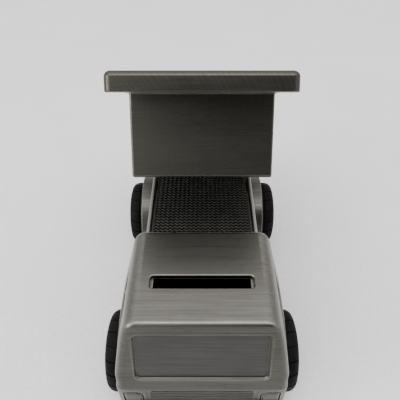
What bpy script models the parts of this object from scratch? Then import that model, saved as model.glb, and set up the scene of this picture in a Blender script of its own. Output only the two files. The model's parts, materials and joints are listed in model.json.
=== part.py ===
"""Die-cast dump-truck coin bank: an assembly of separate pieces.

Run with: blender --background --python part.py
Frame: +Z up, the truck's front faces -Y, X across. The origin is on the ground, under the middle
of the whole truck with its dump bed tipped up. Lengths below are in millimetres.
Stations "s" are distances behind the front axle; y = s - S0.
"""
import bpy
import bmesh
import math
from mathutils import Matrix, Vector

MM = 0.001

# ---- driving dimensions (mm) ----
WHEELBASE = 75.0
TYRE_R = 15.1
TYRE_HALF_W = 5.2
WHEEL_X = 29.8          # middle plane of each tyre
HUB_R = 9.4
AXLE_R = 1.25
AXLE_Z = TYRE_R
AXLE_HALF = 31.6

BOX_HALF = 22.5         # chassis box
BOX_WALL = 2.2
BOX_FRONT, BOX_REAR = -16.4, 93.0
BOX_BOTTOM = 7.4
DECK_TOP, DECK_T = 33.0, 2.2
RAIL_IN, RAIL_OUT, RAIL_TOP = 22.4, 23.9, 34.6
FENDER_IN, FENDER_OUT, FENDER_X = 17.4, 19.0, 28.6
LINER_IN, LINER_OUT, LINER_X = 17.3, 18.9, 26.4

CAB_FRONT, CAB_REAR = -20.5, 24.3
CAB_BOTTOM, CAB_TOP = 9.6, 57.0
BELT_Z, BELT_HALF = 32.0, 30.2
NOSE_HALF = 29.0        # the body draws in a little towards the front corners
ROOF_HALF = 24.6        # where the roof's rounding meets the sloped side
RIDGE_Z = 27.0
ROOF_FRONT = -14.2
CAB_WALL = 2.2
ARCH_R = 17.3
SLOT_LEN, SLOT_W, SLOT_S = 33.8, 5.0, 1.33
NOTCH_HALF = 22.9
BOSS_X, BOSS_S = 26.2, 20.2   # the cab's two screw bosses

HINGE_S, HINGE_Z = 89.5, 31.6
PIN_R = 1.5
TILT = 33.0             # degrees the bed is tipped at rest
BED_L = 64.2            # hinge to the bed's front wall, outside
BED_B = 4.0             # bed's underside above the hinge axis, bed lowered
BED_FLOOR_T = 2.4
WALL_H = 29.0           # underside to the underside of the rim
RIM_H = 6.5
BED_HALF_LOW, BED_HALF_TOP = 25.4, 25.8
BED_WALL = 2.4
CANOPY_C = 21.0
CANOPY_HALF = 30.2
TAIL_Q0, TAIL_Q1, TAIL_RISE = -20.0, 12.0, 9.0
LUG_IN, LUG_OUT, LUG_R = 16.6, 20.0, 3.7

COVER_Z0, COVER_Z1 = 5.5, 7.1
STOP_S, STOP_R = 37.5, 15.0
PAD_HALF, PAD_S0, PAD_S1, PAD_TOP = 21.1, 25.2, 82.5, 35.1
RING = 24               # sides of round pieces that fit one another
BUMPER_OUT = 1.5        # bumper ahead of the cab's front face

# the frame's origin: the station halfway between the bumper and the tipped bed's rear top corner
_tip = math.radians(TILT)
S0 = ((CAB_FRONT - BUMPER_OUT) + HINGE_S + (TAIL_Q1 - 7.0) * math.cos(_tip)
      + (BED_B + WALL_H + RIM_H) * math.sin(_tip)) / 2


# ---- scene set-up ----
for ob in list(bpy.data.objects):
    bpy.data.objects.remove(ob, do_unlink=True)
scene = bpy.context.scene
parts = bpy.data.collections.new("dump_truck_bank")
cutters = bpy.data.collections.new("cutters")
scene.collection.children.link(parts)
scene.collection.children.link(cutters)


def material(name, rgb, rough, metal):
    m = bpy.data.materials.new(name)
    m.use_nodes = True
    b = m.node_tree.nodes["Principled BSDF"]
    b.inputs["Base Color"].default_value = (*rgb, 1.0)
    b.inputs["Roughness"].default_value = rough
    b.inputs["Metallic"].default_value = metal
    m.diffuse_color = (*rgb, 1.0)
    return m


MAT = {
    "cab_pewter": material("cab_pewter", (0.30, 0.29, 0.26), 0.38, 1.0),
    "bed_pewter": material("bed_pewter", (0.24, 0.23, 0.21), 0.38, 1.0),
    "chassis_pewter": material("chassis_pewter", (0.27, 0.26, 0.24), 0.42, 1.0),
    "hub_pewter": material("hub_pewter", (0.34, 0.33, 0.30), 0.35, 1.0),
    "tyre_rubber": material("tyre_rubber", (0.018, 0.018, 0.019), 0.7, 0.0),
    "pad_rubber": material("pad_rubber", (0.020, 0.020, 0.022), 0.6, 0.0),
    "stopper_rubber": material("stopper_rubber", (0.022, 0.022, 0.023), 0.65, 0.0),
    "cover_steel": material("cover_steel", (0.20, 0.20, 0.19), 0.5, 1.0),
    "steel": material("steel", (0.50, 0.50, 0.50), 0.3, 1.0),
    "washer": material("washer", (0.05, 0.05, 0.05), 0.5, 0.0),
    "screw": material("screw", (0.35, 0.35, 0.36), 0.35, 1.0),
}

# a curve's own XY plane, laid on each of the three planes of the truck
PLANES = {
    "side": Matrix(((0, 0, 1), (1, 0, 0), (0, 1, 0))).to_4x4(),    # (s, z), thickness along X
    "front": Matrix(((1, 0, 0), (0, 0, -1), (0, 1, 0))).to_4x4(),  # (x, z), thickness along Y
    "plan": Matrix.Identity(4),                                    # (x, s), thickness along Z
}


def y_of(s):
    """Everything is made at its station, y = s, and the whole truck is moved by -S0 at the end."""
    return s * MM


def link(ob, coll):
    coll.objects.link(ob)
    if coll is cutters:
        ob.hide_render = True
        ob.display_type = 'WIRE'
    return ob


def finish(ob, mat, smooth=None):
    ob.data.materials.clear()
    ob.data.materials.append(MAT[mat])
    if smooth is not None:
        ob.data.shade_smooth()
        ob.data.set_sharp_from_angle(angle=math.radians(smooth))
    return ob


def rounded(points, steps=3):
    """Outline from (u, v, radius) corners; each radius becomes an arc of the given steps."""
    out = []
    n = len(points)
    for i, (u, v, r) in enumerate(points):
        p = Vector((u, v))
        if r <= 0:
            out.append((u, v))
            continue
        a = (Vector(points[i - 1][:2]) - p).normalized()
        b = (Vector(points[(i + 1) % n][:2]) - p).normalized()
        half = a.angle(b) / 2
        cut = r / math.tan(half)
        centre = p + (a + b).normalized() * (r / math.sin(half))
        va, vb = p + a * cut - centre, p + b * cut - centre
        t0 = math.atan2(va.y, va.x)
        dt = math.atan2(vb.y, vb.x) - t0
        while dt > math.pi:
            dt -= 2 * math.pi
        while dt < -math.pi:
            dt += 2 * math.pi
        for k in range(steps + 1):
            t = t0 + dt * k / steps
            out.append((centre.x + r * math.cos(t), centre.y + r * math.sin(t)))
    return out


def prism(name, outline, plane, lo, hi, coll, frame=None):
    """Flat outline (mm) with a thickness from lo to hi, as a closed mesh.

    side outlines are (s, z), front outlines (x, z), plan outlines (x, s). With a frame the outline is
    taken as it is, in that frame's own axes.
    """
    cu = bpy.data.curves.new(name + "_outline", 'CURVE')
    cu.dimensions = '2D'
    cu.fill_mode = 'BOTH'
    cu.extrude = (hi - lo) / 2 * MM
    sp = cu.splines.new('POLY')
    sp.points.add(len(outline) - 1)
    for pt, (u, v) in zip(sp.points, outline):
        pt.co = (u * MM, v * MM, 0.0, 1.0)
    sp.use_cyclic_u = True
    tmp = bpy.data.objects.new(name + "_outline", cu)
    coll.objects.link(tmp)
    mid = (lo + hi) / 2
    if plane == "side":
        shift = Vector((mid * MM, 0, 0))
    elif plane == "front":
        shift = Vector((0, mid * MM, 0))
    else:
        shift = Vector((0, 0, mid * MM))
    place = Matrix.Translation(shift) @ PLANES[plane]
    if frame is not None:
        place = frame @ place
    dg = bpy.context.evaluated_depsgraph_get()
    me = bpy.data.meshes.new_from_object(tmp.evaluated_get(dg))
    bpy.data.objects.remove(tmp, do_unlink=True)
    bm = bmesh.new()
    bm.from_mesh(me)
    bmesh.ops.remove_doubles(bm, verts=bm.verts, dist=1e-7)
    bmesh.ops.transform(bm, matrix=place, verts=bm.verts)
    bmesh.ops.recalc_face_normals(bm, faces=bm.faces)
    bm.to_mesh(me)
    bm.free()
    me.name = name
    return link(bpy.data.objects.new(name, me), coll)


def block(name, x, s, z, coll, frame=None):
    """Box between two corners; x, s and z are (low, high) pairs in mm."""
    bm = bmesh.new()
    bmesh.ops.create_cube(bm, size=1.0)
    size = Vector((x[1] - x[0], s[1] - s[0], z[1] - z[0])) * MM
    mid = Vector(((x[0] + x[1]) / 2, (s[0] + s[1]) / 2, (z[0] + z[1]) / 2)) * MM
    bmesh.ops.scale(bm, vec=size, verts=bm.verts)
    bmesh.ops.translate(bm, vec=mid, verts=bm.verts)
    if frame is not None:
        bmesh.ops.transform(bm, matrix=frame, verts=bm.verts)
    me = bpy.data.meshes.new(name)
    bm.to_mesh(me)
    bm.free()
    return link(bpy.data.objects.new(name, me), coll)


def rod(name, r, lo, hi, centre, axis, coll, sides=RING, frame=None):
    """Cylinder of radius r from lo to hi along an axis through centre (x, s, z)."""
    bm = bmesh.new()
    bmesh.ops.create_cone(bm, cap_ends=True, segments=sides, radius1=r * MM, radius2=r * MM,
                          depth=(hi - lo) * MM)
    mid = (lo + hi) / 2
    if axis == "x":
        rot = Matrix.Rotation(math.radians(90), 4, 'Y')
        loc = Vector((mid, centre[1], centre[2]))
    else:
        rot = Matrix.Identity(4)
        loc = Vector((centre[0], centre[1], mid))
    m = Matrix.Translation(loc * MM) @ rot
    if frame is not None:
        m = frame @ m
    bmesh.ops.transform(bm, matrix=m, verts=bm.verts)
    me = bpy.data.meshes.new(name)
    bm.to_mesh(me)
    bm.free()
    return link(bpy.data.objects.new(name, me), coll)


def combine(ob, other, op):
    md = ob.modifiers.new(op.lower() + "_" + other.name, 'BOOLEAN')
    md.operation = op
    md.solver = 'EXACT'
    md.object = other
    return ob


def cut(ob, *others):
    for o in others:
        combine(ob, o, 'DIFFERENCE')


def add(ob, *others):
    for o in others:
        combine(ob, o, 'UNION')


def turned(name, profile, steps=RING, coll=parts):
    """Profile of (radius, height) mm, down its outer side, turned about the object's own Z."""
    closed = profile[0] == profile[-1]
    pts = profile[:-1] if closed else profile
    bm = bmesh.new()
    vs = [bm.verts.new((r * MM, 0.0, h * MM)) for r, h in pts]
    for i in range(len(vs) - 1):
        bm.edges.new((vs[i], vs[i + 1]))
    if closed:
        bm.edges.new((vs[-1], vs[0]))
    me = bpy.data.meshes.new(name)
    bm.to_mesh(me)
    bm.free()
    ob = link(bpy.data.objects.new(name, me), coll)
    add_screw(ob, steps)
    return ob


def add_screw(ob, steps):
    md = ob.modifiers.new("turn", 'SCREW')
    md.axis = 'Z'
    md.steps = steps
    md.render_steps = steps
    md.use_merge_vertices = True
    md.merge_threshold = 0.00001
    md.use_smooth_shade = True


def copy_of(src, name):
    ob = bpy.data.objects.new(name, src.data)
    parts.objects.link(ob)
    for md in src.modifiers:
        add_screw(ob, md.steps)
    return ob


def arch_outline(centre_s, r_in, r_out, a0, a1, steps):
    pts = []
    for k in range(steps + 1):
        a = math.radians(a0 + (a1 - a0) * k / steps)
        pts.append((centre_s + r_out * math.cos(a), AXLE_Z + r_out * math.sin(a)))
    for k in range(steps, -1, -1):
        a = math.radians(a0 + (a1 - a0) * k / steps)
        pts.append((centre_s + r_in * math.cos(a), AXLE_Z + r_in * math.sin(a)))
    return pts


# ---- cab ----
def cab_side(inset):
    f, r, t = CAB_FRONT + inset, CAB_REAR - inset, CAB_TOP - inset
    lean = (ROOF_FRONT - CAB_FRONT) / (CAB_TOP - RIDGE_Z)
    top_front = f + lean * (t - RIDGE_Z)
    low = CAB_BOTTOM if inset == 0 else CAB_BOTTOM - 5
    k = 1.0 if inset == 0 else 0.0
    return rounded([(f, low, 0), (r, low, 0), (r, t, 1.5 * k + 1.0), (top_front, t, 2.6 * k + 1.0),
                    (f, RIDGE_Z, 0)], 3)


def cab_front(inset):
    b, h, t = BELT_HALF - inset, ROOF_HALF - inset, CAB_TOP - inset
    low = CAB_BOTTOM if inset == 0 else CAB_BOTTOM - 5
    slope = (BELT_HALF - ROOF_HALF) / (CAB_TOP - 3.5 - BELT_Z)
    top = h - slope * 3.5
    r = 5.0 - inset * 0.8
    return rounded([(-b + 0.6, low, 0), (b - 0.6, low, 0), (b, BELT_Z, 0), (top, t, r), (-top, t, r),
                    (-b, BELT_Z, 0)], 4)


def cab_plan(inset):
    b, n, f, r = BELT_HALF - inset, NOSE_HALF - inset, CAB_FRONT + inset, CAB_REAR - inset
    k = 2.6 - inset
    return rounded([(-n, f, k), (n, f, k), (b, 2.0, 0), (b, r, 3.5 - inset), (-b, r, 3.5 - inset), (-b, 2.0, 0)], 3)


cab = prism("cab_shell", cab_side(0), "side", -BELT_HALF - 2, BELT_HALF + 2, parts)
combine(cab, prism("cab_form_front", cab_front(0), "front", CAB_FRONT - 3, CAB_REAR + 3, cutters), 'INTERSECT')
combine(cab, prism("cab_form_plan", cab_plan(0), "plan", CAB_BOTTOM - 3, CAB_TOP + 3, cutters), 'INTERSECT')
hollow = prism("cab_hollow", cab_side(CAB_WALL), "side", -BELT_HALF - 2, BELT_HALF + 2, cutters)
combine(hollow, prism("cab_hollow_front", cab_front(CAB_WALL), "front", CAB_FRONT - 3, CAB_REAR + 3, cutters),
        'INTERSECT')
combine(hollow, prism("cab_hollow_plan", cab_plan(CAB_WALL), "plan", CAB_BOTTOM - 8, CAB_TOP + 3, cutters),
        'INTERSECT')
cut(cab, hollow)
cut(cab, prism("slot_cut", rounded([(-SLOT_LEN / 2, SLOT_S - SLOT_W / 2, 0.9), (SLOT_LEN / 2, SLOT_S - SLOT_W / 2, 0.9),
                                    (SLOT_LEN / 2, SLOT_S + SLOT_W / 2, 0.9), (-SLOT_LEN / 2, SLOT_S + SLOT_W / 2, 0.9)], 2),
               "plan", CAB_TOP - 8, CAB_TOP + 4, cutters))
cut(cab, rod("cab_arch_cut", ARCH_R, -BELT_HALF - 4, BELT_HALF + 4, (0, 0, AXLE_Z), "x", cutters, 32))
cut(cab, block("cab_arch_drop", (-BELT_HALF - 4, BELT_HALF + 4), (-ARCH_R + 0.15, ARCH_R - 0.15), (0, AXLE_Z - 1),
               cutters))
cut(cab, block("cab_rear_notch", (-NOTCH_HALF, NOTCH_HALF), (CAB_REAR - 6, CAB_REAR + 4), (0, DECK_TOP + 0.3),
               cutters))
# the windshield's shallow recess, square to the leaning face
lean_deg = math.degrees(math.atan2(ROOF_FRONT - CAB_FRONT, CAB_TOP - RIDGE_Z))
wind_frame = (Matrix.Translation(Vector((0, y_of(CAB_FRONT), RIDGE_Z * MM)))
              @ Matrix.Rotation(math.radians(-lean_deg), 4, 'X'))
cut(cab, prism("windshield_cut", rounded([(-21.7, 5.95, 1.6), (21.7, 5.95, 1.6), (21.2, 25.15, 1.6), (-21.2, 25.15, 1.6)], 2),
               "front", -3, 0.9, cutters, wind_frame))
# shallow side windows, square to the sloping sides
side_deg = math.degrees(math.atan2(BELT_HALF - ROOF_HALF, CAB_TOP - 3.5 - BELT_Z))
for sgn, tag in ((-1, "left"), (1, "right")):
    fr = (Matrix.Translation(Vector((sgn * BELT_HALF * MM, 0, BELT_Z * MM)))
          @ Matrix.Rotation(math.radians(-sgn * side_deg), 4, 'Y'))
    lo, hi = (-3.0, 0.8) if sgn < 0 else (-0.8, 3.0)
    cut(cab, prism("window_cut_" + tag, rounded([(y_of(-9.5) / MM, 2.5, 1.5), (y_of(13.5) / MM, 2.5, 1.5),
                                                 (y_of(13.5) / MM, 18.0, 1.5), (y_of(-5.5) / MM, 18.0, 1.5)], 2),
                   "side", lo, hi, cutters, fr))
# bumper across the front, and bosses for the two cab screws
add(cab, prism("bumper", rounded([(CAB_FRONT - BUMPER_OUT, 9.6, 0.6), (CAB_FRONT + 1.2, 9.6, 0), (CAB_FRONT + 1.2, 15.6, 0),
                                  (CAB_FRONT - BUMPER_OUT, 15.6, 0.6)], 2), "side", -27.5, 27.5, cutters))
for sgn, tag in ((-1, "left"), (1, "right")):
    boss = rod("cab_boss_" + tag, 2.3, CAB_BOTTOM + 0.4, 31.5, (sgn * BOSS_X, BOSS_S, 0), "z", cutters, 12)
    cut(boss, rod("cab_boss_bore_" + tag, 1.0, CAB_BOTTOM - 3, 20.0, (sgn * BOSS_X, BOSS_S, 0), "z", cutters, 12))
    add(cab, boss)
    cut(cab, rod("cab_boss_drill_" + tag, 1.0, CAB_BOTTOM - 3, 20.0, (sgn * BOSS_X, BOSS_S, 0), "z", cutters, 12))
finish(cab, "cab_pewter", 35)

# ---- chassis ----
REAR_S = WHEELBASE
chassis = block("chassis_frame", (-BOX_HALF, BOX_HALF), (BOX_FRONT, BOX_REAR), (BOX_BOTTOM, DECK_TOP), parts)
cut(chassis, block("box_hollow", (-BOX_HALF + BOX_WALL, BOX_HALF - BOX_WALL), (BOX_FRONT + BOX_WALL, 82.0),
                   (BOX_BOTTOM - 5, DECK_TOP - DECK_T), cutters))
cut(chassis, block("box_mouth", (-BOX_HALF + BOX_WALL, BOX_HALF - BOX_WALL), (BOX_FRONT + BOX_WALL, CAB_REAR - 3.0),
                   (DECK_TOP - DECK_T - 4, DECK_TOP + 5), cutters))
cut(chassis, block("front_trim", (-BOX_HALF - 5, BOX_HALF + 5), (BOX_FRONT - 5, BOX_FRONT + 4), (30.5, DECK_TOP + 5),
                   cutters))
cut(chassis, block("rear_step", (-BOX_HALF - 5, BOX_HALF + 5), (84.5, BOX_REAR + 5), (30.6, DECK_TOP + 5), cutters))
for sgn, tag in ((-1, "left"), (1, "right")):
    x = sorted((sgn * (RAIL_IN + 0.0), sgn * RAIL_OUT))
    add(chassis, block("rail_" + tag, x, (CAB_REAR + 0.7, 83.8), (DECK_TOP - 3.0, RAIL_TOP), cutters))
    xf = sorted((sgn * (BOX_HALF - 0.8), sgn * FENDER_X))
    add(chassis, prism("fender_" + tag, arch_outline(REAR_S, FENDER_IN, FENDER_OUT, 14, 166, 14), "side",
                       xf[0], xf[1], cutters))
    xl = sorted((sgn * (BOX_HALF - 0.8), sgn * LINER_X))
    add(chassis, prism("liner_" + tag, arch_outline(0, LINER_IN, LINER_OUT, 38, 142, 10), "side", xl[0], xl[1],
                       cutters))
    xe = sorted((sgn * (BOX_HALF - 0.8), sgn * 28.9))
    add(chassis, block("ear_" + tag, xe, (17.9, 22.6), (BOX_BOTTOM, 9.3), cutters))
    cut(chassis, rod("ear_hole_" + tag, 1.3, 0, 12, (sgn * BOSS_X, BOSS_S, 0), "z", cutters, 12))
    xp = sorted((sgn * 15.4, sgn * (BOX_HALF - BOX_WALL)))
    cut(chassis, block("lug_pocket_" + tag, xp, (84.5, BOX_REAR + 5), (26.4, DECK_TOP + 5), cutters))
    # bosses for the base cover's screws
    for s, end in ((-11.4, "front"), (79.6, "rear")):
        zc = 20.0
        bs = rod("boss_%s_%s" % (end, tag), 2.6, BOX_BOTTOM, zc, (sgn * 18.6, s, 0), "z", cutters, 12)
        add(chassis, bs)
        cut(chassis, rod("boss_drill_%s_%s" % (end, tag), 1.0, 0, zc - 4, (sgn * 18.6, s, 0), "z", cutters, 12))
add(chassis, rod("hinge_round", 3.4, -15.4, 15.4, (0, HINGE_S, HINGE_Z), "x", cutters, RING))
cut(chassis, rod("hinge_bore", PIN_R + 0.05, -30, 30, (0, HINGE_S, HINGE_Z), "x", cutters, RING))
cut(chassis, block("hinge_back", (-BOX_HALF + BOX_WALL - 0.0, BOX_HALF - BOX_WALL + 0.0), (BOX_REAR - 0.1, BOX_REAR + 5),
                   (26.4, 40), cutters))
for s, end in ((0.0, "front"), (REAR_S, "rear")):
    cut(chassis, rod("axle_bore_" + end, AXLE_R + 0.08, -30, 30, (0, s, AXLE_Z), "x", cutters, RING))
finish(chassis, "chassis_pewter", 35)

# ---- dump bed, built lowered about its hinge and then tipped ----
bed_parent = bpy.data.objects.new("bed_hinge", None)
parts.objects.link(bed_parent)
bed_parent.location = (0, y_of(HINGE_S), HINGE_Z * MM)
TIP = Matrix.Translation(Vector(bed_parent.location)) @ Matrix.Rotation(math.radians(-TILT), 4, 'X')

LOWERED = Matrix.Identity(4)   # the bed's own frame: origin on the hinge axis, bed level
r0, r1, r2 = BED_B, BED_B + WALL_H, BED_B + WALL_H + RIM_H
tail_slope = TAIL_RISE / (TAIL_Q1 - TAIL_Q0)
rim_q = TAIL_Q1 - 7.0
bed = prism("dump_bed", [(-BED_L, r0), (TAIL_Q0, r0), (TAIL_Q1, r0 + TAIL_RISE), (TAIL_Q1 - 1.5, r1 - 7),
                         (rim_q - 1.0, r1 + 2.5), (-BED_L, r1 + 2.5)],
            "side", -40, 40, parts, LOWERED)
combine(bed, prism("bed_form_front", rounded([(-BED_HALF_LOW, r0, 1.2), (BED_HALF_LOW, r0, 1.2), (BED_HALF_TOP, r2, 0),
                                              (-BED_HALF_TOP, r2, 0)], 2), "front", -120, 60, cutters, LOWERED),
        'INTERSECT')
rim = prism("rim", rounded([(-CANOPY_HALF, -BED_L - CANOPY_C, 2.2), (CANOPY_HALF, -BED_L - CANOPY_C, 2.2),
                            (CANOPY_HALF, rim_q, 1.0), (-CANOPY_HALF, rim_q, 1.0)], 3),
            "plan", r1, r2, cutters, LOWERED)
add(bed, rim)
inner = prism("bed_hollow", [(-BED_L + BED_WALL, r0 + BED_FLOOR_T), (TAIL_Q0, r0 + BED_FLOOR_T),
                             (TAIL_Q1 + 6, r0 + BED_FLOOR_T + TAIL_RISE + 6 * tail_slope), (TAIL_Q1 + 6, r2 + 5),
                             (-BED_L + BED_WALL, r2 + 5)],
              "side", -BED_HALF_LOW + BED_WALL, BED_HALF_LOW - BED_WALL, cutters, LOWERED)
cut(bed, inner)
# the canopy is a tray turned upside down: a shallow pocket under it
cut(bed, block("canopy_pocket", (-CANOPY_HALF + 2.6, CANOPY_HALF - 2.6), (-BED_L - CANOPY_C + 2.6, -BED_L - 1.6), (r1 - 3, r1 + 3.4),
               cutters, LOWERED))
for sgn, tag in ((-1, "left"), (1, "right")):
    # upright ribs on each side wall
    for i, q in enumerate((-48.0, -31.0, -14.0)):
        xr = sorted((sgn * (BED_HALF_LOW - 1.0), sgn * (BED_HALF_LOW + 1.9)))
        low = r0 + 1.6 + max(0.0, (q + 1.6 - TAIL_Q0) * tail_slope)
        add(bed, block("rib_%s_%d" % (tag, i), xr, (q - 1.6, q + 1.6), (low, r1 + 1.5), cutters, LOWERED))
    xl = sorted((sgn * LUG_IN, sgn * LUG_OUT))
    top_a, top_b = (r0 + 1.2 + (q - TAIL_Q0) * tail_slope for q in (-8.5, 5.0))
    add(bed, prism("lug_" + tag, [(-8.5, top_a), (-4.4, 2.6), (-3.65, -0.6), (-2.6, -2.6), (0.0, -LUG_R), (1.8, -3.2), (3.3, -1.7), (3.7, 0.0),
                                  (5.0, top_b)], "side", xl[0], xl[1], cutters, LOWERED))
    cut(bed, rod("lug_bore_" + tag, PIN_R + 0.06, min(xl) - 1, max(xl) + 1, (0, 0, 0), "x", cutters, RING, LOWERED))
# the finished shape is kept in the hinge's frame, so the bed turns about its pin
shape = bpy.data.meshes.new_from_object(bed.evaluated_get(bpy.context.evaluated_depsgraph_get()))
bed.modifiers.clear()
bed.data = shape
finish(bed, "bed_pewter", 35)
bed.parent = bed_parent
bed.rotation_euler = (math.radians(-TILT), 0, 0)

# ---- hinge pin and friction washers ----
pin = turned("hinge_pin", [(0.0, 20.9), (2.4, 20.9), (2.4, 20.25), (PIN_R, 20.25), (PIN_R, -20.25), (2.4, -20.25), (2.4, -20.9),
                           (0.0, -20.9)])
pin.location = (0, y_of(HINGE_S), HINGE_Z * MM)
pin.rotation_euler = (0, math.radians(90), 0)
# the pockets' outer walls leave no room for the pin's heads, so they are relieved
for sgn, tag in ((-1, "left"), (1, "right")):
    xr = sorted((sgn * 19.9, sgn * 21.4))
    cut(chassis, rod("head_relief_" + tag, 2.8, xr[0], xr[1], (0, HINGE_S, HINGE_Z), "x", cutters, RING))
    cut(chassis, block("head_relief_top_" + tag, xr, (HINGE_S - 2.8, HINGE_S + 2.8), (HINGE_Z - 0.1, HINGE_Z + 6), cutters))
w = turned("hinge_washer_left", [(3.3, 0.4), (3.3, -0.4), (PIN_R + 0.06, -0.4), (PIN_R + 0.06, 0.4), (3.3, 0.4)])
w.location = (-16.0 * MM, y_of(HINGE_S), HINGE_Z * MM)
w.rotation_euler = (0, math.radians(90), 0)
finish(w, "washer")
w2 = copy_of(w, "hinge_washer_right")
w2.location = (16.0 * MM, y_of(HINGE_S), HINGE_Z * MM)
w2.rotation_euler = (0, math.radians(90), 0)
finish(pin, "steel")

# ---- wheels ----
tw = TYRE_HALF_W
tyre_profile = [(HUB_R + 0.1, tw - 0.6), (TYRE_R - 3.3, tw), (TYRE_R - 1.1, tw - 1.0), (TYRE_R, tw - 3.0),
                (TYRE_R, -tw + 3.0), (TYRE_R - 1.1, -tw + 1.0), (TYRE_R - 3.3, -tw), (HUB_R + 0.1, -tw + 0.6),
                (HUB_R + 0.1, tw - 0.6)]
hub_profile = [(0.0, 4.6), (2.0, 4.5), (3.0, 3.6), (3.2, 1.8), (6.8, 1.4), (7.9, 3.9), (8.8, 4.2), (HUB_R, 3.7), (HUB_R, -4.2),
               (3.0, -4.9), (AXLE_R + 0.05, -4.9), (AXLE_R + 0.05, 2.1), (0.0, 2.1)]
spacer_profile = [(3.0, 0.75), (3.0, -0.75), (AXLE_R + 0.08, -0.75), (AXLE_R + 0.08, 0.75), (3.0, 0.75)]
first = {}
for end, s in (("front", 0.0), ("rear", REAR_S)):
    for side, sgn in (("left", -1), ("right", 1)):
        tag = end + "_" + side
        for kind, prof, steps, x, mat in (("tyre", tyre_profile, 28, WHEEL_X, "tyre_rubber"),
                                          ("wheel_hub", hub_profile, RING, WHEEL_X, "hub_pewter"),
                                          ("wheel_spacer", spacer_profile, RING, 23.65, "steel")):
            name = kind + "_" + tag
            if kind not in first:
                ob = turned(name, prof, steps)
                finish(ob, mat)
                first[kind] = ob
            else:
                ob = copy_of(first[kind], name)
            ob.location = (sgn * x * MM, y_of(s), AXLE_Z * MM)
            ob.rotation_euler = (0, math.radians(90 * sgn), 0)
    ax = turned(end + "_axle", [(0.0, AXLE_HALF), (AXLE_R - 0.3, AXLE_HALF), (AXLE_R, AXLE_HALF - 0.3),
                                (AXLE_R, -AXLE_HALF + 0.3), (AXLE_R - 0.3, -AXLE_HALF), (0.0, -AXLE_HALF)])
    ax.location = (0, y_of(s), AXLE_Z * MM)
    ax.rotation_euler = (0, math.radians(90), 0)
    finish(ax, "steel")

# ---- base cover, stopper and screws ----
cover = prism("base_cover", rounded([(-BOX_HALF, BOX_FRONT, 2.5), (BOX_HALF, BOX_FRONT, 2.5), (BOX_HALF, 84.3, 2.5),
                                     (-BOX_HALF, 84.3, 2.5)], 3), "plan", COVER_Z0, COVER_Z1, parts)
cut(cover, rod("stopper_hole", STOP_R + 0.3, 0, 12, (0, STOP_S, 0), "z", cutters, 36))
SCREWS = [(sx * 18.6, s, "base_screw_%s_%s" % (end, side)) for s, end in ((-11.4, "front"), (79.6, "rear"))
          for sx, side in ((-1, "left"), (1, "right"))]
for x, s, name in SCREWS:
    cut(cover, rod("hole_" + name, 1.3, 0, 12, (x, s, 0), "z", cutters, 12))
finish(cover, "cover_steel")

stopper = turned("coin_stopper", [(0.0, 8.9), (STOP_R - 1.2, 8.9), (STOP_R - 0.4, 8.2), (STOP_R, 7.4), (STOP_R, 5.2),
                                  (17.2, 5.2), (17.2, 4.3), (16.4, 3.7), (6.0, 3.7), (5.6, 4.5), (0.0, 4.5)], 36)
stopper.location = (0, y_of(STOP_S), 0)
finish(stopper, "stopper_rubber")

screw_first = None
screw_profile = [(0.0, 8.0), (0.9, 7.6), (0.9, 0.3), (2.2, 0.3), (2.2, -0.5), (1.3, -1.0), (0.0, -1.0)]
for x, s, name, z in ([(a, b, c, COVER_Z0 - 0.5) for a, b, c in SCREWS]
                      + [(sx * BOSS_X, BOSS_S, "cab_screw_" + side, BOX_BOTTOM - 0.6) for sx, side in ((-1, "left"), (1, "right"))]):
    if screw_first is None:
        ob = turned(name, screw_profile, 12)
        finish(ob, "screw")
        screw_first = ob
    else:
        ob = copy_of(screw_first, name)
    ob.location = (x * MM, y_of(s), z * MM)

# ---- pad on the deck ----
pad = prism("deck_pad", rounded([(-PAD_HALF, PAD_S0, 0.8), (PAD_HALF, PAD_S0, 0.8), (PAD_HALF, PAD_S1, 0.8),
                                 (-PAD_HALF, PAD_S1, 0.8)], 2), "plan", DECK_TOP + 0.3, PAD_TOP, parts)
finish(pad, "pad_rubber")

# the whole truck hangs on one empty, which puts the frame's origin under its middle
origin = bpy.data.objects.new("truck_origin", None)
parts.objects.link(origin)
origin.location = (0, -S0 * MM, 0)
for coll in (parts, cutters):
    for ob in coll.objects:
        if ob is not origin and ob.parent is None:
            ob.parent = origin
bpy.context.view_layer.update()
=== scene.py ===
"""Looks for the die-cast dump-truck bank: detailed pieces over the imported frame.

Pieces are modelled in millimetres at y = s (distance behind the front axle) and then moved to the
row frame in metres. The bed is modelled level in its hinge's frame and tipped with the CAD bed.
"""
import bpy
import bmesh
import json
import math
from mathutils import Matrix, Vector

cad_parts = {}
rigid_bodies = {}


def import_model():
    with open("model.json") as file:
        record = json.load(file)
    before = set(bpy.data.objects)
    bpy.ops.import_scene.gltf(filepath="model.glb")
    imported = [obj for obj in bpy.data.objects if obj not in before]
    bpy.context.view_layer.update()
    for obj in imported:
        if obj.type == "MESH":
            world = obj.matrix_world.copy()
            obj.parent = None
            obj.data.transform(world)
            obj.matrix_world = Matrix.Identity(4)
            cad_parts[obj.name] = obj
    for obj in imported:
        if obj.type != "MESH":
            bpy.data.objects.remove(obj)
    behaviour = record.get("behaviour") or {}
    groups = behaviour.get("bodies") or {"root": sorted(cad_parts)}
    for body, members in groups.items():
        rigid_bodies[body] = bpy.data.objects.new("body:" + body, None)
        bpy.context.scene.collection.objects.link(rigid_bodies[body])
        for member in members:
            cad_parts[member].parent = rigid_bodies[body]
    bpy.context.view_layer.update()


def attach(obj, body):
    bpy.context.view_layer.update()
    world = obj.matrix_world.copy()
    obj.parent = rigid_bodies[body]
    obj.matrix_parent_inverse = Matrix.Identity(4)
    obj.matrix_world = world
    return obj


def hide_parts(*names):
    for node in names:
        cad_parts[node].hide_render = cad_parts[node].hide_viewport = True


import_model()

# ---------------------------------------------------------------- dimensions (mm)
S0 = 46.60329736
AXLE_Z = 15.1
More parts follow.
